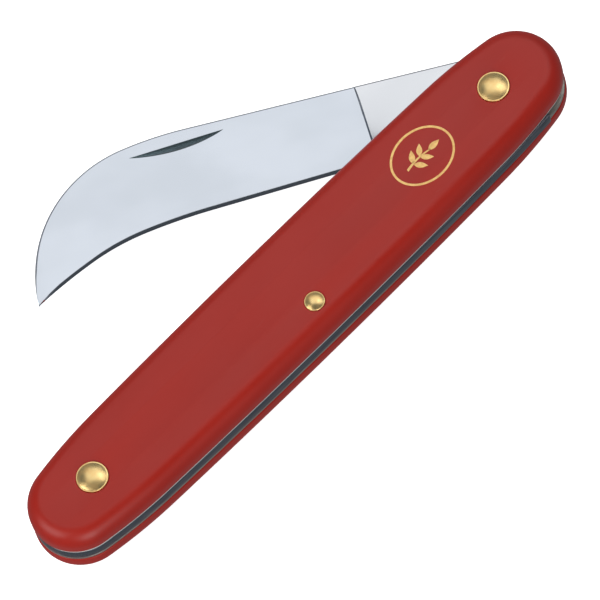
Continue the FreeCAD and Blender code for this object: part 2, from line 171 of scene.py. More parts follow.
def inward(loop: Array, closed: bool = True) -> Array:
    """Unit normals that point into the area on the left of a line of points.

    Args:
        loop: Points in order, anticlockwise where they close.
        closed: Whether the last point joins the first.

    Returns:
        One unit vector a point.
    """
    if closed:
        along = np.roll(loop, -1, axis=0) - np.roll(loop, 1, axis=0)
    else:
        along = np.gradient(loop, axis=0)
    return unit(left_of(along))


@dataclass
class Sheet:
    """One surface of a piece: a grid of points, rows by columns by 3.

    round_rows joins the last column to the first, and finish numbers the piece's material.
    """

    points: Array
    round_rows: bool = False
    finish: int = 0

    def faces(self, first: int) -> Array:
        """Corner numbers of every cell of the grid, counted from the sheet's first vertex."""
        rows, columns = self.points.shape[:2]
        numbers = np.arange(rows * columns).reshape(rows, columns) + first
        if self.round_rows:
            numbers = np.concatenate([numbers, numbers[:, :1]], axis=1)
        corners = (numbers[:-1, :-1], numbers[1:, :-1], numbers[1:, 1:], numbers[:-1, 1:])
        return np.stack(corners, axis=-1).reshape(-1, 4)


@dataclass
class Fill:
    """A flat face at one height, between an outer loop of plane points and the loops of its holes."""

    loops: list[Array]
    height: float
    finish: int = 0

    @property
    def points(self) -> Array:
        """All loops' points at the face's height."""
        return lift(np.concatenate(self.loops), self.height)

    def faces(self, first: int) -> Array:
        """Corner numbers of the triangles that cover the face."""
        return np.array(tessellate_polygon([lift(loop, 0.0).tolist() for loop in self.loops])) + first


def add_object(name: str, data: bpy.types.ID) -> bpy.types.Object:
    """A new object in the scene."""
    made = bpy.data.objects.new(name, data)
    bpy.context.scene.collection.objects.link(made)
    return made


@dataclass
class Piece:
    """A mesh in the making: surfaces that are sewn where their points meet."""

    name: str
    surfaces: list[Sheet | Fill]

    def build(self, finishes: list[bpy.types.Material]) -> bpy.types.Object:
        """Sew the surfaces to one closed mesh with its faces outward, and dress it.

        Args:
            finishes: The piece's materials, in the order that the surfaces number them.

        Returns:
            The new object, at the origin, with its place in its mesh.
        """
        points, faces, marks, count = [], [], [], 0
        for surface in self.surfaces:
            corners = surface.faces(count)
            faces += corners.tolist()
            marks += [surface.finish] * len(corners)
            points.append(surface.points.reshape(-1, 3))
            count += len(points[-1])
        mesh = bpy.data.meshes.new(self.name)
        mesh.from_pydata((np.concatenate(points) * MM).tolist(), [], faces)
        mesh.polygons.foreach_set("material_index", marks)
        for finish in finishes:
            mesh.materials.append(finish)
        self.sew(mesh)
        mesh.shade_smooth()
        mesh.set_sharp_from_angle(angle=SMOOTH_ANGLE)
        log.info("%s: %d faces", self.name, len(mesh.polygons))
        return add_object(self.name, mesh)

    @staticmethod
    def sew(mesh: bpy.types.Mesh) -> None:
        """Merge points that coincide, drop faces without area, and turn the rest outward."""
        shell = bmesh.new()
        shell.from_mesh(mesh)
        bmesh.ops.remove_doubles(shell, verts=shell.verts, dist=WELD)
        bmesh.ops.dissolve_degenerate(shell, edges=shell.edges, dist=WELD)
        bmesh.ops.recalc_face_normals(shell, faces=shell.faces)
        open_edges = sum(1 for edge in shell.edges if not edge.is_manifold)
        if open_edges:
            log.warning("%s has %d edges without two faces", mesh.name, open_edges)
        shell.to_mesh(mesh)
        shell.free()


def lathe(centre: Array, radii: Array, heights: Array, count: int = 72) -> Sheet:
    """Turn a profile round an upright axis: each row is a circle of its radius at its height.

    Args:
        centre: The axis, x and y.
        radii: The profile's distances from the axis.
        heights: The profile's heights.
        count: Points on each circle.

    Returns:
        The turned surface.
    """
    ring = circle(np.zeros(2), 1.0, count)
    rows = centre + radii[:, None, None] * ring[None]
    return Sheet(lift(rows, heights[:, None]), round_rows=True)


def quarter(steps: int = 6) -> tuple[Array, Array]:
    """A quarter round: one less cosine, and sine, of even steps from 0 to a right angle."""
    turn = np.linspace(0, np.pi / 2, steps)
    return 1 - np.cos(turn), np.sin(turn)


def hand_over(made: bpy.types.Object, slot: str, body: str, *nodes: str) -> None:
    """Let a piece stand for its CAD nodes, if it has any, and give it its body."""
    if nodes:
        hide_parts(*nodes)
    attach(made, body)


# ---------------------------------------------------------------- finishes
@dataclass(frozen=True)
class Pattern:
    """Cloudy noise: how long its patches are along X, Y and Z, in millimetres, and its fineness."""

    grain: Spot
    detail: float = 3.0

    def drawn(self, place: Socket) -> Socket:
        """The noise over coordinates in millimetres."""
        tree = place.id_data
        scale = {0: place, 1: tuple(1 / g for g in self.grain)}
        scaled = add_node(tree, "ShaderNodeVectorMath", scale, operation="MULTIPLY").outputs[0]
        noise = {"Vector": scaled, "Scale": 1.0, "Detail": self.detail}
        return add_node(tree, "ShaderNodeTexNoise", noise).outputs[0]


def share_of(
    pattern: Socket, low: float, high: float, start: float = 0.3, stop: float = 0.7,
    times: Socket | None = None,
) -> Socket:
    """Ease a pattern's range over another, and multiply it by another share.

    Args:
        pattern: The pattern.
        low: What its value start becomes.
        high: What its value stop becomes.
        start: Where it begins to act.
        stop: Where it has acted in full.
        times: The other share, if any.

    Returns:
        The eased pattern.
    """
    span = {"Value": pattern, "From Min": start, "From Max": stop, "To Min": low, "To Max": high}
    tree = pattern.id_data
    made = add_node(tree, "ShaderNodeMapRange", span, interpolation_type="SMOOTHSTEP").outputs[0]
    if times is None:
        return made
    return add_node(tree, "ShaderNodeMath", {0: made, 1: times}, operation="MULTIPLY").outputs[0]


@dataclass(frozen=True)
class Looks:
    """What patterns do to a shader: tints mixed in one after another, a bump, and the roughness.

    A tint is a share and a colour, and a relief is a pattern and its height in millimetres.
    """

    tints: list[tuple[Socket, str]]
    relief: list[tuple[Socket, float]]
    gloss: Socket | None = None


@dataclass(frozen=True)
class Finish:
    """What all finishes share: a name, steady values, and the centre and turn about Z of patterns."""

    name: str
    colour: str
    roughness: float
    metallic: float = 0.0
    ior: float = 1.5
    centre: Spot = (0.0, 0.0, 0.0)
    turn: float = 0.0

    def looks(self, place: Socket) -> Looks:
        """What the finish's patterns do, drawn over coordinates in millimetres."""
        raise NotImplementedError

    def material(self) -> bpy.types.Material:
        """The finished material: a shader, object coordinates, and what the patterns do to it."""
        made = bpy.data.materials.new(self.name)
        made.use_nodes = True
        tree = made.node_tree
        tree.nodes.clear()
        colour: object = srgb(self.colour)
        steady = {"Roughness": self.roughness, "Metallic": self.metallic, "IOR": self.ior}
        shader = add_node(tree, "ShaderNodeBsdfPrincipled", {"Base Color": colour, **steady})
        add_node(tree, "ShaderNodeOutputMaterial", {"Surface": shader.outputs["BSDF"]})
        here = add_node(tree, "ShaderNodeTexCoord").outputs["Object"]
        shift = {0: here, 1: (1 / MM,) * 3, 2: tuple(-c for c in self.centre)}
        moved = add_node(tree, "ShaderNodeVectorMath", shift, operation="MULTIPLY_ADD").outputs[0]
        turning = {"Vector": moved, "Rotation": (0.0, 0.0, self.turn)}
        looks = self.looks(add_node(tree, "ShaderNodeMapping", turning).outputs[0])
        for share, other in looks.tints:
            mix = {0: share, 6: colour, 7: srgb(other)}
            colour = add_node(tree, "ShaderNodeMix", mix, data_type="RGBA").outputs[2]
        tree.links.new(colour, shader.inputs["Base Color"])
        if looks.gloss:
            tree.links.new(looks.gloss, shader.inputs["Roughness"])
        bump: dict[str, object] = {}
        for pattern, height in looks.relief:
            layer = {"Height": pattern, "Strength": 1.0, "Distance": height * MM, **bump}
            bump = {"Normal": add_node(tree, "ShaderNodeBump", layer).outputs[0]}
        tree.links.new(bump["Normal"], shader.inputs["Normal"])
        return made


@dataclass(frozen=True)
class MouldedNylon(Finish):
    """Red nylon, injection moulded in a spark-eroded tool.

    The eye gets a deep, even red with a soft satin gloss, faint clouds where the melt ran, and light
    rubbed marks where the knife has lain on its corners.
    """

    cloud: str = "a61b09"
    rubbed: str = "a84438"
    clouds: Pattern = Pattern((19.8, 9.0, 9.0))
    scuffs: Pattern = Pattern((2.2, 0.35, 0.7), 6.0)
    patches: Pattern = Pattern((14.0, 7.0, 7.0), 2.0)
    waves: Pattern = Pattern((11.0, 5.0, 5.0), 1.0)
    wave_height: float = 0.05
    # Spark erosion leaves a grain of about 0.05 mm, drawn at 0.16 mm so that it shows.
    grain: Pattern = Pattern((0.16, 0.16, 0.16), 2.0)
    grain_height: float = 0.0035

    def looks(self, place: Socket) -> Looks:
        """Clouds and rubbed marks in the colour, patches in the gloss, waves and grain in relief."""
        patches = self.patches.drawn(place)
        worn = share_of(patches, 0.0, 1.0, 0.5, 0.7)
        worn = share_of(self.scuffs.drawn(place), 0.0, 0.35, 0.6, 0.78, times=worn)
        return Looks(
            [(share_of(self.clouds.drawn(place), 0.0, 0.55), self.cloud), (worn, self.rubbed)],
            [(self.waves.drawn(place), self.wave_height), (self.grain.drawn(place), self.grain_height)],
            share_of(patches, self.roughness - 0.03, self.roughness + 0.05),
        )


@dataclass(frozen=True)
class GroundSteel(Finish):
    """Stainless steel, ground along lines and then buffed.

    The eye gets a cool mirror whose reflections are drawn out very slightly across the buffing lines,
    with a few hair scratches.
    """

    # A fine belt leaves lines some 0.03 mm apart, drawn 0.12 mm apart so that they show.
    lines: Pattern = Pattern((0.12, 26.0, 26.0))
    line_height: float = 0.0004
    hair: Pattern = Pattern((18.0, 0.25, 0.25), 4.0)
    cloud: Pattern = Pattern((16.0, 9.0, 9.0), 2.0)
    haze: float = 0.03
    dull: str = "b9c0c8"

    def looks(self, place: Socket) -> Looks:
        """Clouds in the colour and the gloss, lines and hair scratches in relief."""
        cloud = self.cloud.drawn(place)
        return Looks(
            [(share_of(cloud, 0.0, 0.3), self.dull)],
            [(self.lines.drawn(place), self.line_height), (self.hair.drawn(place), self.line_height * 0.6)],
            share_of(cloud, self.roughness, self.roughness + self.haze),
        )


@dataclass(frozen=True)
class ShearedStrip(Finish):
    """Metal strip whose edge was sheared, then linished along its length.

    The eye gets a dull shine broken into short streaks along the edge, and dirt in the low places.
    """

    streak: str = "6a6a68"
    streak_length: float = 7.0
    streak_width: float = 0.16
    streak_height: float = 0.004
    dirt: Pattern = Pattern((5.0, 1.5, 1.5))

    def looks(self, place: Socket) -> Looks:
        """Streaks in the colour and in relief, dirt in the gloss."""
        streaks = Pattern((self.streak_length, self.streak_width, self.streak_width), 4.0).drawn(place)
        return Looks(
            [(share_of(streaks, 0.0, 0.7), self.streak)],
            [(streaks, self.streak_height)],
            share_of(self.dirt.drawn(place), self.roughness - 0.08, self.roughness + 0.12),
        )


@dataclass(frozen=True)
class SpunBrass(Finish):
    """Brass, headed in a die and rubbed bright.

    The eye gets a warm, slightly blurred shine with faint rings about the rivet's axis.
    """

    tarnish: str = "ffcc80"
    dents: Pattern = Pattern((1.3, 1.3, 1.3), 2.0)
    dent_height: float = 0.02
    # Turning marks some 0.05 mm apart, drawn 0.15 mm apart so that they show.
    ring_spacing: float = 0.15
    ring_height: float = 0.0012

    def looks(self, place: Socket) -> Looks:
        """Dents in the colour, the gloss and in relief, and turned rings in relief."""
        tree = place.id_data
        across = {0: place, 1: (1.0, 1.0, 0.0)}
        flat = add_node(tree, "ShaderNodeVectorMath", across, operation="MULTIPLY").outputs[0]
        reach = add_node(tree, "ShaderNodeVectorMath", {0: flat}, operation="LENGTH").outputs["Value"]
        turned = {"W": reach, "Scale": 1 / self.ring_spacing, "Detail": 2.0}
        rings = add_node(tree, "ShaderNodeTexNoise", turned, noise_dimensions="1D").outputs[0]
        dents = self.dents.drawn(place)
        return Looks(
            [(share_of(dents, 0.0, 0.5), self.tarnish)],
            [(dents, self.dent_height), (rings, self.ring_height)],
            share_of(dents, self.roughness - 0.04, self.roughness + 0.08),
        )


@dataclass(frozen=True)
class StampedFoil(Finish):
    """Gold foil, hot stamped on the moulding.

    The eye gets a pale gold film, a little uneven, with the moulding's grain pressed through it.
    """

    thin: str = "d8a062"
    wear: Pattern = Pattern((0.5, 0.5, 0.5), 4.0)
    grain: Pattern = Pattern((0.16, 0.16, 0.16), 2.0)
    grain_height: float = 0.003

    def looks(self, place: Socket) -> Looks:
        """Wear in the colour, and the moulding's grain in relief."""
        worn = share_of(self.wear.drawn(place), 0.0, 0.6)
        return Looks([(worn, self.thin)], [(self.grain.drawn(place), self.grain_height)])


# ---------------------------------------------------------------- the handle
class Side(Enum):
    """The two outer sides of the knife."""

    FRONT = 1
    BACK = -1

    @property
    def scale(self) -> str:
        """The CAD node of this side's scale."""
        return f"{self.name.lower()}_scale"

    @property
    def levels(self) -> tuple[float, float]:
        """Levels of the scale's inner and outer face."""
        low, high = (float(corner[2]) for corner in node_span(self.scale))
        return (low, high)[::self.value]


@dataclass(frozen=True)
class HandleOutline:
    """The handle's outline: eight tangent arcs, alike on both halves and both sides."""

    length: float
    width: float
    side_radius: float = 1650.0
    shoulder_radius: float = 90.0
    shoulder_start: float = 36.0
    points_per_arc: tuple[int, ...] = (64, 26, 44, 26)

    @classmethod
    def of_node(cls, node: str) -> "HandleOutline":
        """The outline that fills a CAD scale's box."""
        low, high = node_span(node)
        return cls(length=high[0] - low[0], width=high[1] - low[1])

    def arcs(self) -> Array:
        """Centre x and y, radius, start and stop angle of each arc, anticlockwise from the +X end.

        The shoulder's arc is tangent to the side's at shoulder_start, and the end's to both shoulders.

        Returns:
            Eight rows of five numbers.
        """
        lean = math.asin(self.shoulder_start / self.side_radius)
        gap = self.side_radius - self.shoulder_radius
        drop = self.width / 2 - self.side_radius
        x, y = gap * math.sin(lean), drop + gap * math.cos(lean)
        reach = self.length / 2 - x
        end = (self.shoulder_radius ** 2 - reach ** 2 - y ** 2) / (2 * (self.shoulder_radius - reach))
        end_x = self.length / 2 - end
        turn = math.atan2(-y, end_x - x)
        before, after = math.pi / 2 - lean, math.pi / 2 + lean
        half = np.array([
            (end_x, 0, end, -turn, turn),
            (x, y, self.shoulder_radius, turn, before),
            (0, drop, self.side_radius, before, after),
            (-x, y, self.shoulder_radius, after, math.pi - turn),
        ])
        return np.concatenate([half, half * (-1, -1, 1, 1, 1) + (0, 0, 0, math.pi, math.pi)])

    def sample(self) -> tuple[Array, Array]:
        """Points of the outline, anticlockwise, and the unit normals that point out of it."""
        counts = np.array(self.points_per_arc * 2)
        share = np.concatenate([np.arange(n) / n for n in counts])
        x, y, radius, start, stop = np.repeat(self.arcs(), counts, axis=0).T
        turn = start + (stop - start) * share
        out = np.stack([np.cos(turn), np.sin(turn)], axis=-1)
        return np.stack([x, y], axis=-1) + radius[:, None] * out, out


def plate_piece(
    name: str, loop: Array, span: tuple[float, float], edge_break: float,
    holes: list[tuple[Array, float]],
) -> Piece:
    """A flat plate whose edges are broken by a small quarter round.

    Its wall is the loop carried up, and drawn in along its normals at the broken edges.

    Args:
        name: The piece's name.
        loop: Its outline, anticlockwise.
        span: Its lowest and highest level.
        edge_break: Radius of its edges.
        holes: Centre and radius of each hole.

    Returns:
        The plate, ready to build.
    """
    low, high = span
    into = inward(loop)
    inset, rise = quarter(4)
    insets = np.concatenate([inset[::-1], inset]) * edge_break
    heights = np.concatenate([low + (1 - rise[::-1]) * edge_break, high - (1 - rise) * edge_break])
    wall = loop[None] + insets[:, None, None] * into[None]
    rims = [circle(centre, radius) for centre, radius in holes]
    bores = [lathe(centre, np.full(2, radius), np.array(span)) for centre, radius in holes]
    faces = [Fill([wall[0], *rims], low), Fill([wall[-1], *rims], high)]
    return Piece(name, [Sheet(lift(wall, heights[:, None]), round_rows=True), *bores, *faces])


@dataclass
class Rivet:
    """A brass rivet through the whole handle: a domed head on each side and a shank between them.

    A head is a low ball cap inside a narrow flat rim, and sits in a seat sunk in the scale.
    """

    name: str
    nodes: tuple[str, ...]
    centre: Array
    head_radius: float = 2.5
    shank_radius: float = 1.4
    rim_width: float = 0.22
    rim_rise: float = 0.2
    rise: float = 0.74
    sink: float = 0.6
    rim_corner: float = 0.07
    rim_groove: tuple[float, float] = (0.02, 0.01)
    seat_play: float = 0.03
    seat_break: float = 0.12
    bore_play: float = 0.02

    @property
    def bore(self) -> float:
        """Radius of the holes that the shank goes through."""
        return self.shank_radius + self.bore_play

    def head(self, side: Side) -> Sheet:
        """A head's surface, turned from its profile.

        From the axis the profile follows a ball cap down to a fine groove inside the rim, crosses the
        rim, rounds its outer corner, runs down into the seat and comes back to the shank.

        Args:
            side: The side of the knife that it is on.

        Returns:
            The surface, from the pole to the shank.
        """
        cap_radius = self.head_radius - self.rim_width
        cap = self.rise - self.rim_rise
        ball = (cap_radius ** 2 + cap ** 2) / (2 * cap)
        out = np.linspace(0, 1, 16) ** 0.9 * cap_radius
        dome = self.rise - ball + np.sqrt(ball ** 2 - out ** 2)
        inset, rise = quarter(6)
        corner, (wide, deep) = self.rim_corner, self.rim_groove
        edge = self.head_radius - corner + corner * rise
        radii = np.concatenate([out, [cap_radius + wide], edge, [self.head_radius, self.shank_radius]])
        heights = np.concatenate(
            [dome, [self.rim_rise - deep], self.rim_rise - corner * inset, [-self.sink, -self.sink]]
        )
        return lathe(self.centre, radii, side.levels[1] + side.value * heights)

    def seat(self, side: Side) -> tuple[Array, Sheet]:
        """The hole for the rivet in one scale: a rounded rim, the seat's wall and floor, and the bore.

        Args:
            side: The side of the knife that the scale is on.

        Returns:
            The hole's rim in the scale's face, and the surface.
        """
        wall = self.head_radius + self.seat_play
        inset, rise = quarter(5)
        base, face = side.levels
        radii = np.concatenate([wall + self.seat_break * (1 - rise), [wall, self.bore, self.bore]])
        heights = np.concatenate([-self.seat_break * inset, [-self.sink, -self.sink, -abs(face - base)]])
        return circle(self.centre, float(radii[0])), lathe(self.centre, radii, face + side.value * heights)

    def build(self) -> None:
        """Make the rivet as one mesh, dress it and let it stand for its CAD nodes."""
        ends = [side.levels[1] - side.value * self.sink for side in (Side.BACK, Side.FRONT)]
        shank = lathe(self.centre, np.full(2, self.shank_radius), np.array(ends))
        brass = SpunBrass(
            name=f"brass, die headed, {self.name}",
            colour="ffe09c",
            roughness=0.31,
            metallic=1.0,
            centre=(*self.centre.tolist(), 0.0),
        )
        piece = Piece(self.name, [self.head(Side.FRONT), shank, self.head(Side.BACK)])
        made = piece.build([brass.material()])
        hand_over(made, "rivet_brass", "handle", *self.nodes)


@dataclass
class Scale:
    """A moulded scale: a flat face with generously rounded edges, and seats for the rivets."""

    side: Side
    outline: HandleOutline
    rivets: list[Rivet]
    material: bpy.types.Material
    round_in: float = 2.5
    round_down: float = 2.9
    base_round: float = 0.25

    def build(self) -> None:
        """Make the scale and let it stand for its CAD node.

        The wall is the outline carried up a profile of inset and height: a small quarter round at
        the base, an upright band, and a quarter ellipse that runs out into the flat face.
        """
        base, face = self.side.levels
        inset, rise = quarter(5)
        bend, climb = quarter(18)
        insets = np.concatenate([inset[::-1] * self.base_round, bend * self.round_in])
        band = abs(face - base) - self.round_down * (1 - climb)
        levels = base + self.side.value * np.concatenate([(1 - rise[::-1]) * self.base_round, band])
        points, out = self.outline.sample()
        wall = points[None] - insets[:, None, None] * out[None]
        seats = [rivet.seat(self.side) for rivet in self.rivets]
        bores = [circle(rivet.centre, rivet.bore) for rivet in self.rivets]
        surfaces = [
            Sheet(lift(wall, levels[:, None]), round_rows=True),
            *(sheet for _, sheet in seats),
            Fill([wall[0], *bores], float(levels[0])),
            Fill([wall[-1], *(rim for rim, _ in seats)], float(levels[-1])),
        ]
        piece = Piece(f"{self.side.scale}_moulding", surfaces)
        hand_over(piece.build([self.material]), "red_nylon", "handle", self.side.scale)


@dataclass
class MetalStack:
    """The metal between the scales: two liners, and the back spring that runs between them."""

    outline: HandleOutline
    rivets: list[Rivet]
    inset: float = 0.15
    edge_break: float = 0.12
    # The spring keeps the rim's points before butt's x and below its y, and on its back up to arm_root.
    butt: tuple[float, float] = (-50.0, 3.6)
    arm_root: float = 8.6
    cavity: tuple[Spot, ...] = (
        (9.0, -4.75, 6.0), (5.5, -4.7, 2.5), (2.9, -2.5, 2.5), (-3.3, -2.5, 2.5),
        (-5.5, -4.3, 2.5), (-38.6, -4.3, 2.5), (-41.0, 3.8, 2.5), (-53.9, 3.8, 0.3),
    )
    arm: tuple[Spot, ...] = (
        (22.0, -8.72, 60.0), (33.0, -8.65, 60.0), (41.0, -8.4, 20.0), (47.1, -7.95, 0.4),
        (47.1, -5.35, 0.4), (38.4, -5.35, 20.0),
    )

    def build(self) -> None:
        """Make the liners and the spring, and let them stand for their CAD nodes."""
        # The two liners are one alloy. The front copy is paler and glossier as painted highlight, and the
        # back copy is darker as painted shade.
        bright = ShearedStrip("nickel alloy strip, painted lit copy", "fffcf4", 0.34, 0.4, streak="e0dcd4")
        dull = ShearedStrip("nickel alloy strip, painted shaded copy", "a8a49c", 0.42, 0.7, streak="78746e")
        steel = ShearedStrip(
            "spring steel, ground and oiled", "747c84", 0.4, 1.0, streak="4a5058", streak_length=11.0
        )
        points, out = self.outline.sample()
        rim = points - self.inset * out
        holes = [(rivet.centre, rivet.bore) for rivet in self.rivets]
        for name, alloy in (("front_liner", bright), ("back_liner", dull)):
            low, high = node_span(name)
            plate = plate_piece(f"{name}_plate", rim, (low[2], high[2]), self.edge_break, holes)
            hand_over(plate.build([alloy.material()]), "liner_alloy", "handle", name)
        low, high = node_span("back_spring")
        loop = self.spring_loop(rim)
        plate = plate_piece("spring_bar", loop, (low[2], high[2]), self.edge_break, holes[1:])
        hand_over(plate.build([steel.material()]), "spring_steel", "handle", "back_spring")

    def spring_loop(self, rim: Array) -> Array:
        """The spring's outline, anticlockwise.

        The butt and the fixed half of the back follow the rim. The raised arm and the hollow on the
        mouth's side are polygons with rounded corners.

        Args:
            rim: The liners' outline.

        Returns:
            The spring's outline.
        """
        x, y = rim.T
        butt = (x < self.butt[0]) & (y < self.butt[1])
        kept = rim[butt | ((y < 0) & (x < self.arm_root) & (x >= self.butt[0]))]
        kept = np.roll(kept, -int(np.argmax(kept[:, 1])), axis=0)
        corners = np.array(self.arm + self.cavity)
        framed = np.concatenate([kept[-1:], corners[:, :2], kept[:1]])
        return np.concatenate([kept, rounded_corners(framed, corners[:, 2])])


@dataclass
class FoilMotif:
    """A gold leaf sprig in a plain oval line, stamped on the front scale."""

    centre: tuple[float, float]
    face: float
    half_length: float = 5.5
    half_width: float = 4.5
    line: float = 0.36
    thickness: float = 0.025
    sunk: float = 0.01
    edge_break: float = 0.008
    leaf_length: float = 2.1
    leaf_width: float = 0.46
    stem_foot: float = -3.3
    stem_length: float = 4.9
    stem_bow: float = 0.28

    def leaf(self, root: tuple[float, float], way: float, length: float) -> Array:
        """A leaf's outline, anticlockwise.

        It reaches to each side by the sine of the share gone, raised so that it is widest before its
        middle.

        Args:
            root: Where the leaf leaves the stem.
            way: The leaf's direction, in degrees.
            length: Root to point.

        Returns:
            The outline.
        """
        share = np.linspace(0, 1, 22)
        reach = self.leaf_width * (length / self.leaf_length) * np.sin(np.pi * share ** 0.8)
        lower = np.stack([share * length, -reach], axis=-1)[:-1]
        upper = np.stack([share * length, reach], axis=-1)[:0:-1]
        return turned(np.concatenate([lower, upper]), math.radians(way)) + root

    def stem(self) -> Array:
        """The stem's outline: a bowed line that tapers from its foot to its end."""
        share = np.linspace(0, 1, 24)
        x = self.stem_foot + self.stem_length * share
        bow = self.stem_bow * np.sin(np.pi * share) - 0.1
        half = 0.2 - 0.09 * share
        low = np.stack([x, bow - half], axis=-1)
        return np.concatenate([low, np.stack([x, bow + half], axis=-1)[::-1]])

    def build(self) -> None:
        """Make the motif: each shape is a plate as thin as the foil."""
        leaves = [
            self.leaf((-1.9, 0.2), 52, 2.2), self.leaf((-1.9, -0.1), -52, 2.2),
            self.leaf((-0.35, 0.3), 46, 2.1), self.leaf((-0.35, 0.05), -46, 2.1),
            self.leaf((1.35, 0.0), 0, 2.3),
        ]
        foil = StampedFoil("gold foil, hot stamped", "f7cf85", 0.34, 0.85).material()
        low, high = self.face - self.sunk, self.face + self.thickness
        pieces = [
            plate_piece(f"foil_sprig_{number}", loop + self.centre, (low, high), self.edge_break, [])
            for number, loop in enumerate([self.stem(), *leaves], start=1)
        ]
        ring = circle(np.zeros(2), 1.0, 120)
        outer = ring * (self.half_length, self.half_width) + self.centre
        inner = ring * (self.half_length - self.line, self.half_width - self.line) + self.centre
        levels = ((inner, low), (outer, low), (outer, high), (inner, high), (inner, low))
        rows = np.stack([lift(loop, height) for loop, height in levels])
        for piece in (*pieces, Piece("foil_oval_line", [Sheet(rows, round_rows=True)])):
            hand_over(piece.build([foil]), "gold_foil", "handle")


# ---------------------------------------------------------------- the blade
@dataclass
class RunningLine:
    """A line that runs on through straights and tangent arcs."""

    start: tuple[float, float]
    heading: float
    steps: list[tuple[float, float, float, float, float]] = field(default_factory=list)

    def __post_init__(self) -> None:
        """Hold the line's end: where it is and where it heads."""
        self.end = (*self.start, math.radians(self.heading))

    def run(self, length: float, bend: float = 0.0) -> "RunningLine":
        """Go on for a length, turning by bend radians a millimetre."""
        self.steps.append((*self.end, length, bend))
        x, y = self.at(np.array([float(len(self.steps))]))[0]
        self.end = (float(x), float(y), self.end[2] + bend * length)
        return self

    def bend(self, arcs: tuple[tuple[float, float], ...]) -> "RunningLine":
        """Go on round arcs to the left, each a radius and the degrees that it turns."""
        for radius, degrees in arcs:
            self.run(radius * math.radians(degrees), 1 / radius)
        return self

    def reach(self, x: float, y: float) -> "RunningLine":
        """Go on round the one arc that ends at a point."""
        from_x, from_y, heading = self.end
        chord = math.hypot(x - from_x, y - from_y)
        lean = math.remainder(math.atan2(y - from_y, x - from_x) - heading, 2 * math.pi)
        return self.run(chord * lean / math.sin(lean), 2 * math.sin(lean) / chord)

    def at(self, place: Array) -> Array:
        """Points of the line.

        A point lies along its arc's chord: twice the sine of half the turn, over the bend, halfway
        through the turn.

        Args:
            place: Step number and share of the step, added together.

        Returns:
            One point for each place.
        """
        number = np.clip(np.floor(place).astype(int), 0, len(self.steps) - 1)
        x, y, heading, length, bend = np.array(self.steps)[number].T
        gone = (place - number) * length
        straight = np.abs(bend) < 1e-9
        safe = np.where(straight, 1.0, bend)
        chord = np.where(straight, gone, np.sin(safe * gone / 2) * 2 / safe)
        way = heading + bend * gone / 2
        return np.stack([x + np.cos(way) * chord, y + np.sin(way) * chord], axis=-1)


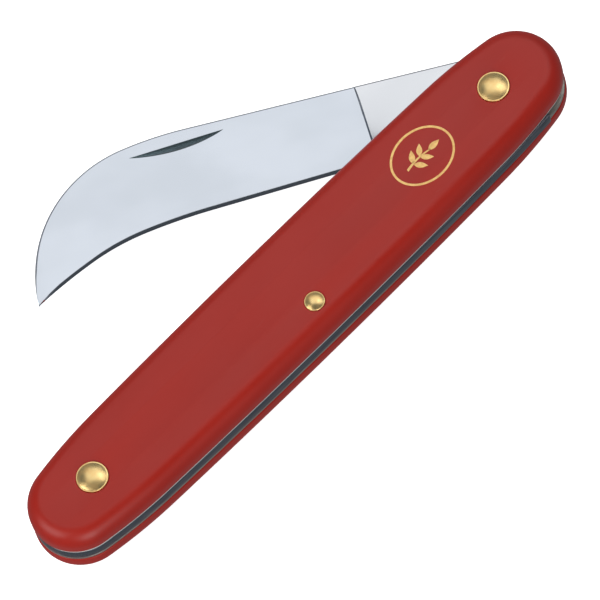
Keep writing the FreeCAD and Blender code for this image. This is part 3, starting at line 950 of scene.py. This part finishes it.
@dataclass
class Blade:
    """The hooked blade with its tang, drawn about the pivot with the spine along X, edge below.

    Its ground faces fall straight from the spine to a narrow bevel at the edge. The flat tang is a
    little thicker, and a short plunge joins the two.
    """

    pivot: Array
    rest_turn: float = math.radians(-33.4)
    tang_half: float = 1.02
    spine_half: float = 0.95
    tip_half: float = 0.32
    shoulder_half: float = 0.25
    edge_half: float = 0.03
    bevel: float = 0.6
    corner: float = 0.36
    corner_rows: int = 4
    # The bevel and the corner take up no more than these shares of the blade's width, near the tip.
    bevel_share: float = 0.14
    corner_share: float = 0.06
    plunge_width: float = 0.32
    spine_run: float = 27.65
    # Radius and degrees of each bend, before the last arc into the hook.
    spine_bends: tuple[tuple[float, float], ...] = ((56.0, 10.0), (21.0, 60.0))
    edge_heading: float = 182.8
    edge_run: float = 26.8
    edge_bends: tuple[tuple[float, float], ...] = ((92.0, 6.7), (36.0, 15.0))
    # Near the spine the plunge sweeps forward, from a height of sweep_start over sweep_rise. The sweep
    # fades out over sweep_run along the blade.
    plunge_sweep: float = 0.12
    sweep_start: float = 4.6
    sweep_rise: float = 3.6
    sweep_run: float = 7.0
    plunge_top: tuple[float, float] = (-20.75, 8.22)
    plunge_bottom: tuple[float, float] = (-19.7, -4.93)
    tip: tuple[float, float] = (-75.65, -15.25)
    tip_width: float = 0.4
    cam_radius: float = 5.3
    flat_depth: float = 4.9
    closed_tilt: float = math.radians(9.4)
    kick: tuple[tuple[float, float], ...] = ((-9.4, -3.2), (-7.6, -5.2), (-5.6, -5.2))
    kick_radii: tuple[float, ...] = (2.0, 0.5, 0.5, 0.6)
    notch_x: float = -4.05
    notch_radius: float = 0.3
    hole_radius: float = 1.43
    nick_start: tuple[float, float] = (-57.3, 5.45)
    nick_stop: tuple[float, float] = (-42.2, 6.4)
    nick_width: float = 1.2
    nick_depth: float = 0.6
    nick_wall: float = 0.08
    nick_rows: tuple[int, int, int] = (9, 12, 22)
    # Past the nick the rows along it keep between these shares of the blade's width.
    nick_shares: tuple[float, float] = (0.08, 0.22)

    def spine(self) -> RunningLine:
        """The back of the blade: straight, then two bends and a last arc into the hook."""
        line = RunningLine(self.plunge_top, 180.0).run(self.spine_run).bend(self.spine_bends)
        return line.reach(self.tip[0], self.tip[1] + self.tip_width)

    def edge(self) -> RunningLine:
        """The cutting edge: straight, then bending ever tighter into the hook."""
        line = RunningLine(self.plunge_bottom, self.edge_heading).run(self.edge_run)
        return line.bend(self.edge_bends).reach(*self.tip)

    def stations(self) -> Array:
        """Places along the blade: crowded over the plunge and over the nail nick."""
        plunge = (0.0, 0.03, 0.07, 0.11, 0.15, 0.2, 0.25, 0.3, 0.35, 0.4, 0.46, 0.6, 0.9, 1.4, 2.2, 3.2)
        return np.concatenate([
            np.array(plunge) / self.spine_run,
            np.linspace(4.4 / self.spine_run, 0.76, 22, endpoint=False),
            np.linspace(0.76, 1.0, 60, endpoint=False),
            np.linspace(1.0, 1.9, 80, endpoint=False),
            np.linspace(1.9, 3.0, 70, endpoint=False),
            np.linspace(3.0, 4.0, 48),
        ])

    def nick_place(self, points: Array) -> tuple[Array, Array, Array]:
        """Where plane points lie in the nail nick.

        Args:
            points: Plane points, in the blade's own frame.

        Returns:
            For each point the share of the nick's length gone, the distance below its upper line,
            and the reach of its bowed lower lip there.
        """
        start, stop = np.array(self.nick_start), np.array(self.nick_stop)
        along = unit(stop - start)
        away = points - start
        share = away @ along / np.linalg.norm(stop - start)
        bow = np.sin(np.pi * np.clip(share, 0.0, 1.0) ** 1.06)
        return share, -(away @ left_of(along)), self.nick_width * np.maximum(bow, 0.0) ** 0.75

    def nick_depths(self, points: Array) -> Array:
        """Depth of the nail nick at plane points.

        The floor rises at one slope from the foot of a steep wall, next to the spine, to the bowed lip.

        Args:
            points: Plane points, in the blade's own frame.

        Returns:
            A depth for each, zero outside the nick.
        """
        _, down, lip = self.nick_place(points)
        reach = np.maximum(lip, 0.01)
        ramp = np.clip(1 - down / reach, 0.0, 1.0)
        wall = np.clip(down / (reach * self.nick_wall), 0.0, 1.0)
        return self.nick_depth * lip / self.nick_width * ramp * wall

    def fall_rows(
        self, top: Array, bottom: Array, corner: Array, shoulder: Array
    ) -> Array:
        """Distances from the spine to the rows of a ground face, for each station.

        Rows follow the nail nick's upper line, the foot of its wall and its lower lip, and run on past
        its ends. The rest divide what is left.

        Args:
            top: The spine's points.
            bottom: The edge's points.
            corner: Where the face starts.
            shoulder: Where the face stops.

        Returns:
            Stations by rows.
        """
        width = np.linalg.norm(bottom - top, axis=1)
        ruling = unit(bottom - top)
        start, stop = np.array(self.nick_start), np.array(self.nick_stop)
        down = -left_of(unit(stop - start))
        least, most = self.nick_shares
        line = np.clip(((start - top) @ down) / (ruling @ down), least * width, most * width)
        _, _, lip = self.nick_place(top + ruling * line[:, None])
        reach = (np.maximum(lip, 0.1) / (ruling @ down))[:, None]
        line = line[:, None]
        above, inside, below = (np.linspace(0, 1, count) for count in self.nick_rows)
        foot, last = line + reach * self.nick_wall, line + reach
        tail = last + (shoulder - last) * below[1:] ** 1.5
        return np.concatenate(
            [corner + (line - corner) * above[1:], foot + (last - foot) * inside, tail], axis=1
        )

    def ground_face(self, nicked: bool) -> Array:
        """One ground face, as heights above the blade's middle plane.

        Each row is a line from the spine to the edge. It crosses the cut corner, falls straight to the
        bevel's shoulder, and falls again to the edge. Over the plunge its height is eased to the tang's.

        Args:
            nicked: Whether the nail nick is cut in it.

        Returns:
            Stations by rows by 3, in the blade's own frame.
        """
        places = self.stations()
        top, bottom = self.spine().at(places), self.edge().at(places)
        width = np.linalg.norm(bottom - top, axis=1)[:, None]
        corner = np.minimum(self.corner, width * self.corner_share)
        bevel = np.minimum(self.bevel, width * self.bevel_share)
        cut_in = np.linspace(0, 1, self.corner_rows)
        shoulder = width - bevel
        down = self.fall_rows(top, bottom, corner, shoulder)
        fall = (down - corner) / (shoulder - corner)
        cut = np.linspace(0, 1, 4)[None, 1:]
        gone = places[:, None] / places[-1]
        back = self.spine_half + (self.tip_half - self.spine_half) * gone
        reach = np.concatenate([corner * cut_in, down, width - bevel * (1 - cut)], axis=1)
        ground = back + (self.shoulder_half - back) * fall
        honed = self.shoulder_half + (self.edge_half - self.shoulder_half) * cut + 0 * back
        heights = np.concatenate([back - corner * (1 - cut_in), ground, honed], axis=1)
        along_plunge = places[:, None] * self.spine_run
        level = np.full((len(places), fall.shape[1] + cut.size), self.tang_half)
        tang = np.concatenate([self.tang_half - corner * (1 - cut_in), level], axis=1)
        heights = tang + (heights - tang) * smooth_step(along_plunge / self.plunge_width)
        share = (reach / width)[..., None]
        points = top[:, None] * (1 - share) + bottom[:, None] * share
        climb = np.clip((points[..., 1] - self.sweep_start) / self.sweep_rise, 0.0, 1.0) ** 2
        points[..., 0] -= self.plunge_sweep * climb * (1 - smooth_step(along_plunge / self.sweep_run))
        if nicked:
            heights = heights - self.nick_depths(points)
        return lift(points, heights)

    def tang_line(self, head: Array) -> Array:
        """The tang's outline from the plunge's foot round the cam to the plunge's head.

        The cam is an arc about the pivot between the two flats; the rest are corners with small radii.

        Args:
            head: Where the plunge meets the spine.

        Returns:
            Points, anticlockwise.
        """
        half_flat = math.sqrt(self.cam_radius ** 2 - self.flat_depth ** 2)
        kick = turned(np.array([*self.kick, (-half_flat, -self.flat_depth)]), self.closed_tilt)
        lean = math.asin(half_flat / self.cam_radius)
        turn = np.linspace(self.closed_tilt + lean - math.pi / 2, math.pi / 2 - lean, 60)
        cam = self.cam_radius * np.stack([np.cos(turn), np.sin(turn)], axis=-1)
        foot = np.array([self.plunge_bottom])
        low = rounded_corners(np.concatenate([foot, kick, cam[:1]]), np.array(self.kick_radii))
        notch = np.array([(self.notch_x, self.flat_depth), (self.notch_x, self.plunge_top[1])])
        framed = np.concatenate([cam[-1:], notch, head[None]])
        high = rounded_corners(framed, np.full(2, self.notch_radius))
        share = np.linspace(0, 1, 8)[:, None]
        lead = foot + share[:-1] * (low[0] - foot)
        back = high[-1] + share[1:] * (head - high[-1])
        return np.concatenate([lead, low, cam, high, back])

    def placed(self, points: Array) -> Array:
        """Points turned to the blade's stored angle and moved to its pivot."""
        return lift(turned(points[:, :2], self.rest_turn), points[:, 2]) + self.pivot

    def build(self) -> None:
        """Make the blade, with polished ground faces, a satin tang and a nail nick darkened by painted
        shade, for its CAD node.
        """
        front = self.ground_face(nicked=True)
        back = self.ground_face(nicked=False) * (1, 1, -1)
        line = self.tang_line(front[0, 0, :2])
        into = inward(line, closed=False)
        ease = smooth_step(np.arange(len(line)) / 6.0)
        cut_in = np.linspace(0, 1, self.corner_rows)[:, None]
        drawn_in = self.corner * ease * cut_in
        down = self.tang_half - self.corner * ease * (1 - cut_in)
        wall = line[None] + drawn_in[..., None] * into[None]
        upper, lower = lift(wall, down), lift(wall, -down)
        upper[:, -1], lower[:, -1] = front[0, :self.corner_rows], back[0, :self.corner_rows]
        plunge = front[0, self.corner_rows - 1:]
        upper_row = self.corner_rows + self.nick_rows[0] - 2
        lower_row = upper_row + self.nick_rows[1]
        share, _, _ = self.nick_place(front[:, upper_row, :2])
        first, last = np.flatnonzero((share > 0) & (share < 1))[[0, -1]]
        loop = np.concatenate([upper[-1, :-1, :2], plunge[:-1, :2]])
        hole = circle(np.zeros(2), self.hole_radius)
        bore = lathe(np.zeros(2), np.full(2, self.hole_radius), np.array([-self.tang_half, self.tang_half]))
        sheets = [
            Sheet(front[:first + 1]),
            Sheet(front[first:last + 1, :upper_row + 1]),
            # Finish 2 is the nail nick: rougher struck steel, with painted shade in its darker colour.
            Sheet(front[first:last + 1, upper_row:lower_row + 1], finish=2),
            Sheet(front[first:last + 1, lower_row:]),
            Sheet(front[last:]),
            Sheet(back),
            Sheet(np.stack([front[:, 0], back[:, 0]])),
            Sheet(np.stack([front[:, -1], back[:, -1]])),
            Sheet(np.stack([front[-1], back[-1]])),
            Sheet(np.concatenate([upper[::-1], lower]), finish=1),
            Sheet(bore.points, round_rows=True, finish=1),
        ]
        flats = [Fill([loop, hole], height, finish=1) for height in (self.tang_half, -self.tang_half)]
        piece = Piece("hooked_blade", [*sheets, *flats])
        polished = GroundSteel("stainless steel, mirror buffed", "d9dfe8", 0.1, dull="b9c0c8")
        satin = GroundSteel(
            "stainless steel, satin tang", "e6e8ec", 0.2, dull="d2d5da", line_height=0.0008
        )
        # The nick's higher roughness is its struck finish. Its darker colour and darker clouds are painted
        # shade of the recess.
        struck_shaded = GroundSteel("stainless steel, struck nail nick", "8c989c", 0.22, dull="5c6468")
        along = {"metallic": 1.0, "turn": -self.rest_turn}
        made = piece.build([replace(finish, **along).material() for finish in (polished, satin, struck_shaded)])
        coordinates = np.empty(len(made.data.vertices) * 3)
        made.data.vertices.foreach_get("co", coordinates)
        placed = self.placed(coordinates.reshape(-1, 3) / MM) * MM
        made.data.vertices.foreach_set("co", placed.ravel())
        made.data.update()
        hand_over(made, "blade_steel", "blade", "blade")


# ---------------------------------------------------------------- the studio
@dataclass(frozen=True)
class Softbox:
    """A square soft light, aimed at the knife."""

    name: str
    azimuth: float
    elevation: float
    distance: float
    size: float
    watts: float
    mirrored: bool = True

    def build(self, aim: Vector) -> None:
        """Hang the light; azimuth 0 is behind the knife, on the mouth's side, and 90 is the pivot's end.

        Args:
            aim: The point that it faces, in metres.
        """
        a, e = math.radians(self.azimuth), math.radians(self.elevation)
        way = Vector((math.sin(a) * math.cos(e), math.cos(a) * math.cos(e), math.sin(e)))
        lamp = bpy.data.lights.new(self.name, "AREA")
        lamp.shape = "SQUARE"
        lamp.size = self.size
        lamp.energy = self.watts
        made = add_object(self.name, lamp)
        made.matrix_world = Matrix.LocRotScale(aim + way * self.distance, way.to_track_quat("Z", "Y"), None)
        made.visible_camera = False
        made.visible_glossy = self.mirrored


@dataclass(frozen=True)
class Studio:
    """Pale floor, soft lights and the camera."""

    aim: tuple[float, float, float] = (-0.396, -0.512, 5.85)
    elevation: float = 65.0
    azimuth: float = 27.4
    roll: float = 44.23
    distance: float = 1300.0
    sensor: float = 36.0
    lens: float = 510.8
    floor_size: float = 40.0
    floor_level: float = -0.76

    def build(self) -> None:
        """Make everything round the knife."""
        self.camera()
        self.floor()
        self.world()
        aim = Vector(self.aim) * MM
        for light in (
            Softbox("key softbox", 36.0, 64.0, 0.8, 0.76, 1.7),
            Softbox("fill softbox", 36.0, 45.0, 0.8, 1.15, 1.6, mirrored=False),
            Softbox("butt side softbox", -82.0, 32.0, 0.7, 0.45, 2.2),
            Softbox("pivot side softbox", 100.0, 56.0, 0.7, 0.36, 0.5),
            Softbox("spine side softbox", 205.0, 17.0, 0.7, 0.36, 1.9),
        ):
            light.build(aim)

    def camera(self) -> None:
        """Set the camera: a long lens from above the spine side, rolled so that the knife lies aslant."""
        a, e, roll = (math.radians(value) for value in (self.azimuth, self.elevation, self.roll))
        back = Vector((-math.cos(e) * math.sin(a), -math.cos(e) * math.cos(a), math.sin(e)))
        along = (Vector((1, 0, 0)) - back * back.x).normalized()
        above = back.cross(along)
        right = along * math.cos(roll) - above * math.sin(roll)
        up = along * math.sin(roll) + above * math.cos(roll)
        lens = bpy.data.cameras.new("camera")
        lens.lens = self.lens
        lens.sensor_width = self.sensor
        made = add_object("camera", lens)
        spot = (Vector(self.aim) + back * self.distance) * MM
        made.matrix_world = Matrix.Translation(spot) @ Matrix((right, up, back)).transposed().to_4x4()
        bpy.context.scene.camera = made

    def floor(self) -> None:
        """Lay a wide pale floor under the lower rivet heads, softly lit from below like a light table."""
        half = self.floor_size / 2
        ring = np.linspace(-half, half, 9)
        x, y = np.meshgrid(ring, ring)
        points = np.stack([x, y, np.full_like(x, self.floor_level * MM)], axis=-1)
        mesh = bpy.data.meshes.new("floor")
        mesh.from_pydata(points.reshape(-1, 3).tolist(), [], Sheet(points).faces(0)[:, ::-1].tolist())
        paper = bpy.data.materials.new("matt acrylic table")
        paper.use_nodes = True
        shader = paper.node_tree.nodes["Principled BSDF"]
        steady = {"Roughness": 0.9, "Emission Color": srgb("ffffff"), "Emission Strength": 0.9}
        for socket, value in {"Base Color": srgb("f4f4f4"), **steady}.items():
            shader.inputs[socket].default_value = value
        mesh.materials.append(paper)
        made = add_object("floor", mesh)
        made.visible_glossy = False
        made.visible_diffuse = False

    @staticmethod
    def world() -> None:
        """Dim grey surroundings, paler towards the horizon."""
        world = bpy.data.worlds.new("studio")
        world.use_nodes = True
        tree = world.node_tree
        tree.nodes.clear()
        way = add_node(tree, "ShaderNodeTexCoord").outputs["Generated"]
        height = add_node(tree, "ShaderNodeSeparateXYZ", {0: way}).outputs["Z"]
        climb = {"Value": height, "From Min": 0.1, "From Max": 0.9}
        share = add_node(tree, "ShaderNodeMapRange", climb).outputs[0]
        tones = {0: share, 6: srgb("8c8e92"), 7: srgb("484c50")}
        tone = add_node(tree, "ShaderNodeMix", tones, data_type="RGBA").outputs[2]
        sky = add_node(tree, "ShaderNodeBackground", {"Color": tone, "Strength": 1.0})
        add_node(tree, "ShaderNodeOutputWorld", {"Surface": sky.outputs[0]})
        bpy.context.scene.world = world
        bpy.context.scene.view_settings.view_transform = "Standard"


# ---------------------------------------------------------------- the whole knife
def node_axis(node: str) -> Array:
    """Centre of a CAD node's box, x and y."""
    low, high = node_span(node)
    return (low[:2] + high[:2]) / 2


def make_rivets() -> list[Rivet]:
    """The pivot rivet, the end rivet and the small centre rivet, where the CAD has them."""
    rivets = []
    for word in ("pivot", "end"):
        pin = f"{word}_pin"
        nodes = (pin, f"{word}_burr_front", f"{word}_burr_back")
        rivets.append(Rivet(f"{word}_rivet", nodes, node_axis(pin)))
    small = Rivet(
        "centre_rivet", ("centre_pin",), node_axis("centre_pin"),
        head_radius=1.6, shank_radius=1.0, rim_width=0.15, rim_rise=0.12, rise=0.5, sink=0.4,
    )
    return [*rivets, small]


def main() -> None:
    """Build the knife and its studio in order."""
    rivets = make_rivets()
    outline = HandleOutline.of_node("front_scale")
    nylon = MouldedNylon("red nylon, injection moulded", "ae1d0a", 0.43, ior=1.46).material()
    for side in Side:
        Scale(side, outline, rivets, nylon).build()
    MetalStack(outline, rivets).build()
    for rivet in rivets:
        rivet.build()
    blade_low, blade_high = node_span("blade")
    pivot = np.array([*node_axis("pivot_pin"), (blade_low[2] + blade_high[2]) / 2])
    Blade(pivot).build()
    FoilMotif((27.9, 0.05), Side.FRONT.levels[1]).build()
    Studio().build()


if __name__ == "__main__":
    main()
